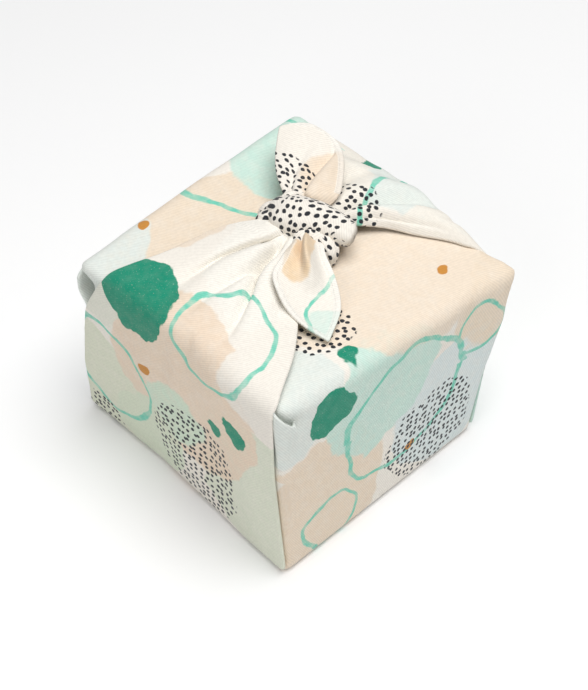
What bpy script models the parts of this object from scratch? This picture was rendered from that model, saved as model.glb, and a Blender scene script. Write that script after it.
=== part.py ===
"""Furoshiki wrap: one square of cotton folded round a box and tied on top.

The cloth is one sheet, so it is one solid.  The frame is in metres, +Z up, with the origin
on the surface that the wrap stands on, below its middle.  Panels B (+X) and D (-X) are
folded over the top first.  Panels A (-Y) and C (+Y) carry a Z-pleat at each upright edge,
rise over them and are gathered into a square knot with two free ends.
"""
import math

import bmesh
import bpy
import numpy as np

MM = 0.001

# Driving sizes, in metres.
HALF = 69 * MM            # middle of the wrap to the cloth of panels A and C
TOP = 105.5 * MM          # height of panel B's cloth, where it lies over the top
CLOTH = 1.1 * MM          # thickness of the cloth
LAYER = 1.9 * MM          # from one layer to the next where the cloth is folded
EDGE_R = 2.5 * MM         # rounding of the upright edges
TOP_R = 7 * MM            # rounding where panels B and D turn over the top
FOOT_R = 2.5 * MM         # rounding along the bottom edges
PLEAT_RATE = 0.32         # depth of an upright pleat, for each metre of height
STEP_HEIGHT = 4 * MM      # height at which the step at a corner is complete
FOLD_HEIGHT = 12 * MM     # height at which the step has folded over into a pleat
STEP_REACH = 2.2 * MM     # how far before the rounding the step begins
STEP_SLOPE = 0.2 * MM     # run of each of the step's four points along the wall
SPLIT = 62 * MM           # height at which a pleat's inner fold ends in two hems
MIDDLE = (-0.5 * MM, 2.3 * MM)    # the leaning wrap's middle, which becomes the origin
SKIRT_END = 7 * MM        # depth of a side skirt at the end of its panel
MITRE_R = 1 * MM          # rounding of a skirt where it turns at the top corner

COTTON = (0.84, 0.77, 0.68, 1.0)

# Levels of the wall below the split, in millimetres above the floor.
WALL_LEVELS = (2.0, 4.0, 7.0, 12.0, 20.0, 32.0, 46.0, 62.0)

# How far the corners lean from an upright box, in millimetres, at the floor and at the top.
LEAN = {
    "-x-y": {"foot": (-2.5, 1.0, 0.0), "top": (4.0, -1.5, -3.0)},
    "+x-y": {"foot": (0.5, 4.0, 0.0), "top": (-2.5, 3.0, -0.5)},
    "+x+y": {"foot": (-2.5, -8.0, 0.0), "top": (4.0, 1.5, 1.0)},
    "-x+y": {"foot": (0.0, -2.0, 0.0), "top": (-5.0, 5.5, 1.5)},
}

# Sections of the gathered panels A and C from the split to the knot, in millimetres.  A row
# is a line across the panel, seen from outside: its left edge, middle and right edge, then
# the place (0 to 1 across) and depth of the two valleys between its gathers.
PANEL_A = (
    ((-69, -69, 62), (0, -69, 62), (69, -69, 62), 0.30, 0.0, 0.56, 0.0),
    ((-60, -69, 80), (3, -70, 80), (69, -69.2, 79), 0.28, 0.4, 0.56, 0.5),
    ((-51, -69, 96), (6, -70.8, 96), (69, -69, 94), 0.27, 0.6, 0.56, 0.8),
    ((-46.5, -68.3, 106), (7, -69.8, 106), (69, -68.8, 103.5), 0.26, 0.5, 0.57, 0.6),
    ((-45, -64.3, 111.3), (7, -65, 112), (66, -65, 109.3), 0.26, 0.5, 0.57, 0.6),
    ((-44.5, -55, 112.8), (6, -54, 114.5), (58.5, -55.5, 110.8), 0.27, 0.8, 0.57, 0.8),
    ((-44, -42, 113.2), (4, -40, 116), (49, -42, 111), 0.29, 3.0, 0.57, 2.2),
    ((-39, -24, 114.5), (-1, -24, 117.6), (33, -25, 111.3), 0.34, 5.4, 0.58, 4.4),
    ((-29, -11, 116.5), (-5, -11, 118.6), (18, -9, 113), 0.40, 5.6, 0.57, 4.8),
    ((-16, 7, 118), (-6, 5, 118), (3, 4, 115), 0.45, 2.0, 0.64, 2.0),
)
PANEL_C = (
    ((69, 69, 62), (0, 69, 62), (-69, 69, 62), 0.34, 0.0, 0.66, 0.0),
    ((69, 69.2, 79), (0, 70, 80), (-67, 69.2, 80), 0.34, 0.4, 0.66, 0.4),
    ((69, 69, 94), (0, 71, 96), (-64, 69, 95), 0.34, 0.8, 0.66, 0.6),
    ((68, 68.8, 104), (0, 70.2, 106), (-62, 68.8, 106), 0.34, 1.2, 0.66, 0.8),
    ((64, 65.5, 109.3), (0, 66.8, 114.8), (-59, 65, 111.3), 0.34, 2.0, 0.67, 1.2),
    ((54, 61.5, 111), (0, 59, 118), (-52, 54.5, 112.6), 0.36, 2.6, 0.67, 1.6),
    ((42, 56, 111.3), (0, 51, 118), (-43, 44, 113), 0.39, 3.8, 0.67, 2.4),
    ((31, 48, 111.6), (0, 43, 117.4), (-32, 36, 113), 0.43, 4.4, 0.66, 2.8),
    ((20, 38, 112.8), (0, 34, 116), (-21, 29, 114), 0.46, 3.0, 0.64, 2.2),
    ((9, 24, 116), (1, 22, 117), (-7, 20, 116.5), 0.48, 1.4, 0.62, 1.2),
)
VALLEY_WIDTH = 0.09       # half-width of a valley, as a share of the panel
RETURN_AT_KNOT = 0.17     # width of a turned-under edge at the knot, as a share of the panel

# Panels B and D on the top, in metres: where each ends, how high it lies over panel B, its
# half-width at that end, and how far from its box edge it keeps its full width.
PANEL_B = {"end": -44 * MM, "lift": 0.0, "end_half": 34 * MM, "full": 34 * MM}
PANEL_D = {"end": 3 * MM, "lift": LAYER, "end_half": 63.5 * MM, "full": 60 * MM}

# The two free ends, in millimetres, in rows as for the gathered panels, from knot to tip.
FRONT_END = (
    ((7, 12, 116), (3, 9, 118), (-2, 5, 115), 0.3, 0.0, 0.5, 0.0),
    ((13, 8, 118.5), (8, 4, 121), (2, -1, 117.5), 0.3, 0.4, 0.45, 0.8),
    ((22, 5, 118), (14, -5, 118), (5, -12, 119.5), 0.3, 0.6, 0.48, 3.0),
    ((31, 1, 115.5), (21, -11, 113.8), (10, -20, 117.5), 0.3, 0.4, 0.5, 1.2),
    ((39, -4, 112.5), (30, -15, 111), (18, -24, 114), 0.3, 0.0, 0.5, 0.0),
    ((45, -12, 110), (39.5, -19, 109.5), (31, -25.5, 111), 0.3, 0.0, 0.5, 0.0),
    ((51, -22, 108.6), (50.3, -22.8, 108.6), (49.5, -23.5, 108.6), 0.3, 0.0, 0.5, 0.0),
)
BACK_END = (
    ((-7, 13, 116), (-2, 17, 119), (3, 22, 117), 0.35, 0.0, 0.7, 0.0),
    ((-17, 18, 119.5), (-9, 26, 124), (-1, 34, 120), 0.35, 2.6, 0.68, 1.8),
    ((-29, 23, 121.5), (-19, 34, 124.5), (-6, 43, 121), 0.38, 2.8, 0.68, 2.0),
    ((-40, 29, 123), (-29, 41, 124), (-14, 52, 121.5), 0.42, 2.0, 0.68, 1.4),
    ((-47, 36.5, 124.5), (-37, 47.5, 124.5), (-21, 56.5, 122), 0.45, 1.0, 0.68, 0.6),
    ((-49.5, 42.5, 125), (-43, 50, 125), (-32, 57, 123.5), 0.5, 0.0, 0.68, 0.0),
    ((-45.5, 51.5, 125.2), (-44.5, 52.5, 125.2), (-43, 54, 125.2), 0.5, 0.0, 0.68, 0.0),
)

# The knot's two strands, in millimetres.  A row is one section of a strand, from its left
# end to its right end: its middle, half-width, half-height and twist in degrees.
KNOT_BAND = (
    ((-19.5, 5.5, 117.5), 2.5, 2.0, 0),
    ((-16.8, 7, 118), 6.5, 5.0, 0),
    ((-11, 9.5, 118), 9.0, 6.6, 6),
    ((-3, 13.5, 118), 10.5, 7.2, 10),
    ((5, 18, 117.3), 11.5, 7.4, 14),
    ((12.5, 23, 116), 11.2, 6.8, 18),
    ((17, 26.5, 115), 8.0, 5.4, 20),
    ((19, 28.2, 114.6), 3.0, 2.2, 20),
)
KNOT_UNDER = (
    ((-9.5, 23, 115.2), 3.0, 2.0, 0),
    ((-7, 20.5, 115.5), 7.5, 4.6, 0),
    ((-1, 14, 116), 9.5, 5.4, 0),
    ((4.5, 8, 116), 9.5, 5.4, 0),
    ((9, 3.5, 115.6), 7.0, 4.2, 0),
    ((11, 1.5, 115.4), 2.6, 1.8, 0),
)

KNOT_CREASES = (48, 84, 122)     # degrees round a strand from its right side, over its top
CREASE_DEPTH = 0.13              # share of the strand's size
CREASE_WIDTH = 0.22              # radians

# Local swellings of panels B and D, in millimetres: middle, reach and shift.  D stands off
# the box as an open ear at the left corner, and B dips into a small tuck at the front one.
EAR = ((-69, -64, 93), (9, 8, 12), (-4.5, -2.0, 0.0))
TUCK = ((69, -57, 99), (9, 9, 7), (-3.6, 0.0, -0.8))

# How many steps the mesh takes.
ACROSS_A = 14
ACROSS_B = 10
RETURN_STEPS = 2
ARC_STEPS = 2
RISE_STEPS = 14
SKIRT_STEPS = 2
WALL_STEPS = 3
BEND_STEPS = 3
TOP_STEPS = 5
KNOT_STEPS = (12, 20)
END_STEPS = (10, 11)


def smooth_step(value, low, high):
    """0 below low and 1 above high, with a smooth rise between them."""
    share = np.clip((value - low) / (high - low), 0.0, 1.0)
    return share * share * (3.0 - 2.0 * share)


def fan(first, last, steps):
    """Points from first to last in equal steps, without the first."""
    shares = np.linspace(0.0, 1.0, steps + 1)[1:, None]
    return np.array(first) + (np.array(last) - np.array(first)) * shares


def corner_profile(height):
    """One corner of a wall section: a pleat's three layers, then the rounded edge.

    Points are (along the wall, out of the wall) from the middle of the wrap, from the outer
    fold to the start of wall B or D.  Near the floor they form a plain step, which folds
    over into a Z as the height grows.  The first half belongs to the outer panel.
    """
    step = smooth_step(height, 0.0, STEP_HEIGHT)
    fold = smooth_step(height, STEP_HEIGHT * 0.7, FOLD_HEIGHT)
    foot = HALF - EDGE_R - STEP_REACH
    spread = STEP_SLOPE * (1 - fold)
    outer = foot + (HALF - foot) * fold
    inner = foot + (HALF - PLEAT_RATE * max(height, FOLD_HEIGHT) - foot) * fold
    tight = 0.25 * LAYER * step * (1 - fold)
    layer = LAYER * step
    top_layer = np.array([[outer, 0.0], [outer + spread, layer - tight]])
    turned = fan(top_layer[1], (inner + 2 * spread, layer + tight), RETURN_STEPS)
    under = np.array([[inner + 3 * spread, 2 * layer]])
    skirt = fan(under[0], (HALF - EDGE_R, 2 * layer), SKIRT_STEPS)
    turn = np.linspace(0.0, math.pi / 2, ARC_STEPS + 1)[1:]
    edge = np.column_stack((HALF - EDGE_R * (1 - np.sin(turn)),
                            2 * layer + EDGE_R * (1 - np.cos(turn))))
    points = np.vstack((top_layer, turned, under, skirt, edge))
    return np.column_stack((points[:, 0], HALF - points[:, 1]))


OUTER_POINTS = 2 + RETURN_STEPS      # points of a corner that belong to panel A or C


def corner(height, sign_x, sign_y):
    """A corner's points in the wrap's frame, in the order that corner_profile gives."""
    flat = corner_profile(height)
    return np.column_stack((sign_x * flat[:, 0], sign_y * flat[:, 1], np.full(len(flat), height)))


def wall_section(height):
    """The closed section of the cloth at one height, anticlockwise from the left of wall A."""
    front, right = corner(height, 1, -1), corner(height, 1, 1)
    back, left = corner(height, -1, 1), corner(height, -1, -1)
    walls = (fan(left[0], front[0], ACROSS_A)[:-1], fan(front[-1], right[-1], ACROSS_B)[:-1],
             fan(right[0], back[0], ACROSS_A)[:-1], fan(back[-1], left[-1], ACROSS_B)[:-1])
    return np.vstack((walls[0], front, walls[1], right[::-1],
                      walls[2], back, walls[3], left[::-1]))


def through(rows, steps):
    """Smooth curves through rows of values (Catmull-Rom), sampled in equal steps."""
    rows = np.asarray(rows, float)
    padded = np.concatenate((2 * rows[:1] - rows[1:2], rows, 2 * rows[-1:] - rows[-2:-1]))
    place = np.linspace(0.0, len(rows) - 1.0, steps + 1)
    start = np.minimum(place.astype(int), len(rows) - 2)
    t = (place - start).reshape((-1,) + (1,) * (rows.ndim - 1))
    before, here, after, beyond = (padded[start + k] for k in range(4))
    return 0.5 * (2 * here + (after - before) * t
                  + (2 * before - 5 * here + 4 * after - beyond) * t ** 2
                  + (3 * here - before - 3 * after + beyond) * t ** 3)


def unit(vectors):
    """Vectors made one long."""
    return vectors / np.maximum(np.linalg.norm(vectors, axis=-1, keepdims=True), 1e-12)


def row_normals(grid):
    """One unit normal for each row of a grid, from the middle half of its width."""
    across, along = np.gradient(grid, axis=1), np.gradient(grid, axis=0)
    quarter = grid.shape[1] // 4
    middle = np.cross(across, along)[:, quarter:-quarter]
    return unit(unit(middle).mean(axis=1, keepdims=True))


def loft(table, across, along):
    """A gathered surface: a parabola through each row's three points, with two valleys.

    The parabola's height over the chord is the crown.  A valley sinks along the surface's
    normal as a bell curve about its place.  Returns a grid of along + 1 by across + 1.
    """
    points = through([row[:3] for row in table], along) * MM
    valleys = through([row[3:] for row in table], along)
    u = np.linspace(0.0, 1.0, across + 1)[None, :, None]
    left, middle, right = (points[:, k, None, :] for k in range(3))
    grid = (left * (1 - u) * (1 - 2 * u) + middle * 4 * u * (1 - u) + right * u * (2 * u - 1))
    sunk = np.zeros(grid.shape[:2])
    for place, depth in ((valleys[:, 0], valleys[:, 1]), (valleys[:, 2], valleys[:, 3])):
        offset = (u[:, :, 0] - place[:, None]) / VALLEY_WIDTH
        sunk += depth[:, None] * MM * np.exp(-offset ** 2)
    return grid - row_normals(grid) * sunk[:, :, None]


def turned_edge(below, end_shares):
    """The turned-under edge along the first column of a grid that lies one layer below.

    Its outer line lies under the panel's edge, and its hem lies end_shares across.
    """
    place = np.linspace(0.0, 1.0, below.shape[1])
    columns = []
    for share in np.linspace(0.0, 1.0, RETURN_STEPS + 1):
        columns.append([[np.interp(across, place, row[:, k]) for k in range(3)]
                        for across, row in zip(end_shares * share, below)])
    return np.array(columns).transpose(1, 0, 2)


def gathered_panel(table, left_corner, right_corner):
    """Panel A or C above the split, with both turned-under edges, from hem to hem."""
    grid = loft(table, ACROSS_A, RISE_STEPS)
    below = grid - row_normals(grid) * LAYER
    shares = np.linspace(PLEAT_RATE * SPLIT / (2 * HALF), RETURN_AT_KNOT, len(grid))
    left = turned_edge(below, shares)
    right = turned_edge(below[:, ::-1], shares)
    panel = np.concatenate((left[:, ::-1], grid, right), axis=1)
    panel[0] = np.vstack((left_corner[:OUTER_POINTS][::-1], grid[0, 1:-1],
                          right_corner[:OUTER_POINTS]))
    return panel


def skirted_profile():
    """Panel B's section from its middle to its hem: place across, rounding and skirt share.

    Rounding is how far a point lies below the panel on its edge's arc.  Skirt share is 0 on
    the panel and 1 at the hem.
    """
    turn = np.linspace(math.pi / 2, 0.0, ARC_STEPS + 1)[1:]
    edge = HALF - 2 * LAYER
    rows = [(edge - EDGE_R * (1 - math.cos(a)), EDGE_R * (1 - math.sin(a)), 0.0) for a in turn]
    rows += [(edge, EDGE_R, share) for share in np.linspace(0, 1, SKIRT_STEPS + 1)[1:]]
    return rows


def flat_panel(spec):
    """Panel B above the split, mirrored by the caller for D: wall, turn, top and two skirts.

    Every point across the panel follows the same bent path, up the wall and in over the
    top, the further inside the lower it lies on the skirt.  Skirts meet the turn in a mitre.
    """
    side = skirted_profile()
    flat = [(y, 0.0, 0.0) for y in np.linspace(-1, 1, ACROSS_B + 1) * (HALF - 2 * LAYER - EDGE_R)]
    mirrored = [(-y, rounding, share) for y, rounding, share in side]
    top = TOP + spec["lift"]
    columns = []
    for y, rounding, share in mirrored[::-1] + flat + side:
        turn_depth = rounding + (PLEAT_RATE * TOP - EDGE_R) * share
        radius = max(TOP_R - turn_depth, MITRE_R)
        centre = (HALF - turn_depth - radius, top - turn_depth - radius)
        column = []
        for up in np.linspace(0.0, 1.0, WALL_STEPS + 1):
            depth = rounding + (PLEAT_RATE * (SPLIT + up * (TOP - SPLIT)) - EDGE_R) * share
            column.append((HALF - depth, y, SPLIT + up * (centre[1] - SPLIT)))
        for angle in np.linspace(0.0, math.pi / 2, BEND_STEPS + 1)[1:]:
            column.append((centre[0] + radius * math.cos(angle), y,
                           centre[1] + radius * math.sin(angle)))
        for inward in np.linspace(0.0, 1.0, TOP_STEPS + 1)[1:]:
            x = centre[0] + inward * (spec["end"] - centre[0])
            past = np.clip((HALF - x - spec["full"]) / (HALF - spec["end"] - spec["full"]), 0, 1)
            narrow = 1 - past * (1 - spec["end_half"] / (HALF - 2 * LAYER))
            skirt = turn_depth - rounding + (SKIRT_END * share - turn_depth + rounding) * inward
            column.append((x, y * narrow, top - rounding - skirt))
        columns.append(column)
    return np.array(columns).transpose(1, 0, 2)


def push(points, bulge):
    """Shift points near a bulge's middle, fading as a bell curve over its reach."""
    middle, reach, shift = (np.array(part) * MM for part in bulge)
    near = np.exp(-(((points - middle) / reach) ** 2).sum(axis=-1, keepdims=True))
    return points + shift * near


def lean(points):
    """Move points as the wrap's corners lean, in proportion to their place, then centre them."""
    x = np.clip(points[..., 0] / HALF, -1, 1) / 2
    y = np.clip(points[..., 1] / HALF, -1, 1) / 2
    z = points[..., 2] / TOP
    moved = np.array(points, float)
    for name, shift in LEAN.items():
        sign_x = 1 if name.startswith("+x") else -1
        sign_y = 1 if name.endswith("+y") else -1
        weight = (0.5 + sign_x * x) * (0.5 + sign_y * y)
        foot, top = np.array(shift["foot"]) * MM, np.array(shift["top"]) * MM
        moved += weight[..., None] * (foot + (top - foot) * z[..., None])
    return moved - (*MIDDLE, 0.0)


def add_grid(mesh, grid, closed=False):
    """Add a grid of points as quads to a bmesh."""
    rows, columns = grid.shape[:2]
    verts = [[mesh.verts.new(point) for point in row] for row in grid]
    last = columns if closed else columns - 1
    for i in range(rows - 1):
        for j in range(last):
            k = (j + 1) % columns
            mesh.faces.new((verts[i][j], verts[i][k], verts[i + 1][k], verts[i + 1][j]))
    return verts


def sheet_mesh():
    """The whole cloth up to the knot as one open surface, before it gets its thickness."""
    mesh = bmesh.new()
    walls = np.array([wall_section(z * MM) for z in WALL_LEVELS])
    foot = wall_section(0.0)
    inset = 1 - FOOT_R / HALF
    foot = np.column_stack((foot[:, :2] * inset, np.full(len(foot), CLOTH / 2)))
    verts = add_grid(mesh, np.concatenate((foot[None], walls)), closed=True)
    mesh.faces.new(verts[0][::-1])
    front, right = corner(SPLIT, 1, -1), corner(SPLIT, 1, 1)
    back, left = corner(SPLIT, -1, 1), corner(SPLIT, -1, -1)
    add_grid(mesh, gathered_panel(PANEL_A, left, front))
    add_grid(mesh, gathered_panel(PANEL_C, right, back))
    panel_b, panel_d = flat_panel(PANEL_B), flat_panel(PANEL_D) * (-1, 1, 1)
    panel_b[1:], panel_d[1:] = push(panel_b[1:], TUCK), push(panel_d[1:], EAR)
    add_grid(mesh, panel_b)
    add_grid(mesh, panel_d[:, ::-1])
    bmesh.ops.remove_doubles(mesh, verts=mesh.verts, dist=0.01 * MM)
    for vert in mesh.verts:
        vert.co = lean(np.array(vert.co))
    bmesh.ops.recalc_face_normals(mesh, faces=mesh.faces)
    return mesh


def end_mesh(table):
    """A free end of the cloth as an open surface from the knot to its tip."""
    mesh = bmesh.new()
    add_grid(mesh, lean(loft(table, *END_STEPS)))
    return mesh


def strand_mesh(table):
    """One strand of the knot as a closed shape: turned ellipses along a curved path."""
    mesh = bmesh.new()
    sections, around = KNOT_STEPS
    middle = through([row[0] for row in table], sections) * MM
    sizes = through([row[1:] for row in table], sections)
    path = unit(np.gradient(middle, axis=0))
    side = unit(np.cross(path, (0.0, 0.0, 1.0)))
    up = np.cross(side, path)
    angle = np.linspace(0, 2 * math.pi, around, endpoint=False)[None, :, None]
    twist = np.radians(sizes[:, 2])[:, None, None]
    creased = 1 - CREASE_DEPTH * sum(np.exp(-((angle - math.radians(at)) / CREASE_WIDTH) ** 2)
                                     for at in KNOT_CREASES)
    width, height = (sizes[:, k][:, None, None] * MM * creased for k in range(2))
    flat, tall = width * np.cos(angle), height * np.sin(angle)
    grid = (middle[:, None] + side[:, None] * (flat * np.cos(twist) - tall * np.sin(twist))
            + up[:, None] * (flat * np.sin(twist) + tall * np.cos(twist)))
    verts = add_grid(mesh, lean(grid), closed=True)
    mesh.faces.new(verts[0])
    mesh.faces.new(verts[-1][::-1])
    bmesh.ops.recalc_face_normals(mesh, faces=mesh.faces)
    return mesh


def place(name, mesh, guide=False):
    """Put a bmesh in the scene as an object, as a guide where another piece uses it up."""
    data = bpy.data.meshes.new(name)
    mesh.to_mesh(data)
    mesh.free()
    piece = bpy.data.objects.new(name, data)
    bpy.context.scene.collection.objects.link(piece)
    if guide:
        piece.hide_render = True
        piece.display_type = "WIRE"
    return piece


def thicken(piece):
    """Give an open cloth surface its thickness, half to each side."""
    wall = piece.modifiers.new("cloth thickness", "SOLIDIFY")
    wall.thickness = CLOTH
    wall.offset = 0.0
    wall.use_even_offset = True
    wall.use_quality_normals = True


def cotton():
    """Printed cotton twill: matt and pale."""
    material = bpy.data.materials.new("cotton twill")
    material.use_nodes = True
    shader = material.node_tree.nodes["Principled BSDF"]
    shader.inputs["Base Color"].default_value = COTTON
    shader.inputs["Roughness"].default_value = 0.9
    shader.inputs["Metallic"].default_value = 0.0
    return material


def build():
    """Model the wrap: the sheet, with the knot and its two free ends joined to it."""
    for old in list(bpy.data.objects):
        bpy.data.objects.remove(old)
    wrap = place("furoshiki_cloth", sheet_mesh())
    wrap.data.materials.append(cotton())
    thicken(wrap)
    guides = [place("front end", end_mesh(FRONT_END), guide=True),
              place("back end", end_mesh(BACK_END), guide=True)]
    for guide in guides:
        thicken(guide)
    guides += [place("knot under", strand_mesh(KNOT_UNDER), guide=True),
               place("knot band", strand_mesh(KNOT_BAND), guide=True)]
    for guide in guides:
        join = wrap.modifiers.new("join " + guide.name, "BOOLEAN")
        join.operation = "UNION"
        join.solver = "EXACT"
        join.object = guide


build()
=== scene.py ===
"""Furoshiki wrap: one square of printed cotton twill folded round a box and tied on top.

The whole cloth is one thin sheet.  Each part of it is a grid of points worked out from a few
given sections, and every point also has its place on the flat cloth, which the weave, the
print and the hem follow.  Panels B (+X) and D (-X) lie flat over the top, and panels A (-Y)
and C (+Y) are pleated at the corners and gathered over them into a knot with two free ends.
"""
import functools
import math

import bmesh
import bpy
import numpy as np
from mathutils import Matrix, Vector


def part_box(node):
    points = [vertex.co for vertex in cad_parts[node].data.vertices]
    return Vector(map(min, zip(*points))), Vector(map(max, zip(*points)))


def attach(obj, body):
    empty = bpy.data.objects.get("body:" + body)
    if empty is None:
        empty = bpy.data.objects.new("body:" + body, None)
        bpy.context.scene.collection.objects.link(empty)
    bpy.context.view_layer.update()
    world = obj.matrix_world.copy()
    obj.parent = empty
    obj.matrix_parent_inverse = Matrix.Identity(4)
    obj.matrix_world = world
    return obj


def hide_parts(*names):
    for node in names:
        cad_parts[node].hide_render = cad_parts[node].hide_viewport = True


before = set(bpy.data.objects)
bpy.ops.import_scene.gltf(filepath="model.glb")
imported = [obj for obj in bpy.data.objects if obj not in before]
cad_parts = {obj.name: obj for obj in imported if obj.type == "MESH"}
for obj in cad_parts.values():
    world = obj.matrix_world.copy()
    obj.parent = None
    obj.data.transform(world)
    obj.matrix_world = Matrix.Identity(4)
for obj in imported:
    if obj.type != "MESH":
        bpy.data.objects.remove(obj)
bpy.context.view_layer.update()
LOW, HIGH = (np.array(corner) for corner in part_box("furoshiki_cloth"))

# -------- sizes
DRAWN_SPAN = 146.88                      # X size of the whole wrap in the tables' millimetres
MM = (HIGH[0] - LOW[0]) / DRAWN_SPAN     # one millimetre of the tables, in metres
ORIGIN = np.array([(LOW[0] + HIGH[0]) / 2, (LOW[1] + HIGH[1]) / 2, LOW[2]])
MIDDLE = np.array([-0.5, 2.3, 0.0])      # middle of the leaning wrap in the tables' millimetres

HALF = 69.0              # middle of the wrap to the cloth of panels A and C
TOP = 105.5              # height of panel B's cloth, where it lies over the top
CLOTH = 0.6              # thickness of the twill
HEM_THICK = 1.1          # thickness of the hem, where the cloth is folded twice
LAYER = 1.2              # from one layer to the next where the cloth is folded
EDGE_R = 3.6             # rounding of the upright edges of panels B and D
TOP_R = 7.5              # rounding where panels B and D turn over the top
FOOT_R = 5.0             # rounding along the bottom edges
FRONT_INSET = 4.2        # how far inside its corner panel A's right folded edge ends, at the split
LEFT_INSET = 2.4         # the same for panel A's left folded edge
RIGHT_INSET = 3.2        # the same for both of panel C's folded edges
RIGHT_LAYER = 0.76       # from one layer to the next in panel C's pleats, which are pulled tighter
EAR_LOW = 72.0           # height at which the ear begins
EAR_DRAWN = (9, 1, 0)    # how far panel D's cloth is drawn back in the ear's mouth
POCKET_DEPTH = 3.4       # how far panel B's cloth dips above the small pocket's lip
SPLIT = 62.0             # height at which a pleat's inner fold ends
PLEAT = 58.0             # depth of the pleats above the split
PLAIN = 0.6              # height below which a corner has no pleat yet
STEP_HEIGHT = 6.0        # height at which a corner's step is a full pleat
FLAT = 500.0             # side of the flat cloth
TIP = FLAT / math.sqrt(2)                # middle of the flat cloth to each corner
HEM = 3.2                # width of the hem

NO_HEM = 99.0            # distance given to cloth that lies far from a hemmed edge
STRANDS_AT = (14.0, 262.0)               # where the knot's strands lie on the flat cloth

# Heights of the wall's rows, and how many steps the cloth's grids take.
LEVELS = np.concatenate(([0.0, 0.2, 0.6, 1.3, 2.3, 3.6, 5.0, 7.0, 10.0], np.linspace(14, SPLIT, 13)))
ACROSS_A = 80            # across panels A and C, and along each from the split to the knot
ALONG_A = 92
ALONG_C = 74
ACROSS_B = 48            # across panels B and D, and up the wall, round the turn and over the top
STEPS_B = (18, 8, 28)
STEPS_D = (14, 7, 24)
UNDER = 8                # across a turned-under layer
TURN = 4                 # round a fold where a layer turns under
ARC = 5                  # round an upright edge
TIP_STEPS = 4            # along the hidden tip of panel B or D
EASE = 12                # rows over which a panel settles on to the wall below it
END_STEPS = (48, 56)     # across and along a free end
BAND_STEPS = (54, 48)    # along and round the knot's band
STRAND_STEPS = (20, 32)  # along and round its other strands
HEM_LEVELS = 20          # steps in which the sheet thickens into its hem

# How far the corners lean from an upright box, at the floor and at the top.
LEAN = {
    (-1, -1): ((-2.5, 1, 0), (4, -1.5, -3)),
    (1, -1): ((1.6, 3.2, 0), (-2.5, 3, -0.5)),
    (1, 1): ((-2.5, -8, 0), (4, 1.5, 1)),
    (-1, 1): ((0, -2, 0), (-6.8, 5.2, 2.7)),
}

# Sections of the gathered panels from the split to the knot, each a line across the panel
# seen from outside: its left edge, its middle and its right edge.
PANEL_A = (
    ((-66.8, -69, 62), (0, -69, 62), (65, -69, 62)),
    ((-63, -69, 79), (1, -69.8, 79), (64.6, -69.2, 79)),
    ((-55.5, -69, 94.5), (4, -70.6, 96), (64.6, -69, 94)),
    ((-49, -68.3, 106), (6, -69.4, 106.3), (64.8, -68.8, 103.6)),
    ((-46, -64.3, 111.3), (7, -64.3, 112), (63.8, -64.5, 108.8)),
    ((-42, -56, 113), (6, -53.5, 114), (59, -57.5, 110)),
    ((-36, -42, 113.8), (4, -40.5, 115.8), (48, -42, 110.4)),
    ((-32, -27, 114.6), (0, -26, 117.2), (35, -28, 110.6)),
    ((-27, -14, 115.8), (-4, -12.5, 118.2), (19, -13, 112)),
    ((-18.5, -1.5, 116.6), (-6, -3, 118.2), (6, -3.5, 114.4)),
    ((-12.5, 4, 117), (-6, 4, 116.6), (0, 3, 115.6)),
)
PANEL_C = (
    ((66, 69, 62), (0, 69, 62), (-66, 69, 62)),
    ((63, 69.2, 79), (0, 70, 79), (-64, 69.2, 79)),
    ((57, 69, 94), (1, 71, 95), (-62, 69, 94)),
    ((53.5, 68.4, 102), (3, 70.4, 106), (-61, 68.4, 102.5)),
    ((49.5, 65, 106.6), (8, 66.4, 113), (-58, 65, 106.8)),
    ((45.5, 62, 107.6), (4, 59.5, 116), (-51, 55, 110)),
    ((38, 57.6, 107.8), (2, 51, 117), (-42, 45, 112)),
    ((27, 49.6, 108), (1, 43, 117.8), (-32, 36.5, 113.2)),
    ((16, 41, 109.6), (0, 34, 117.8), (-21, 29, 114.6)),
    ((6, 26, 113.6), (1, 23, 117.4), (-7, 21, 116)),
)

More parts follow.
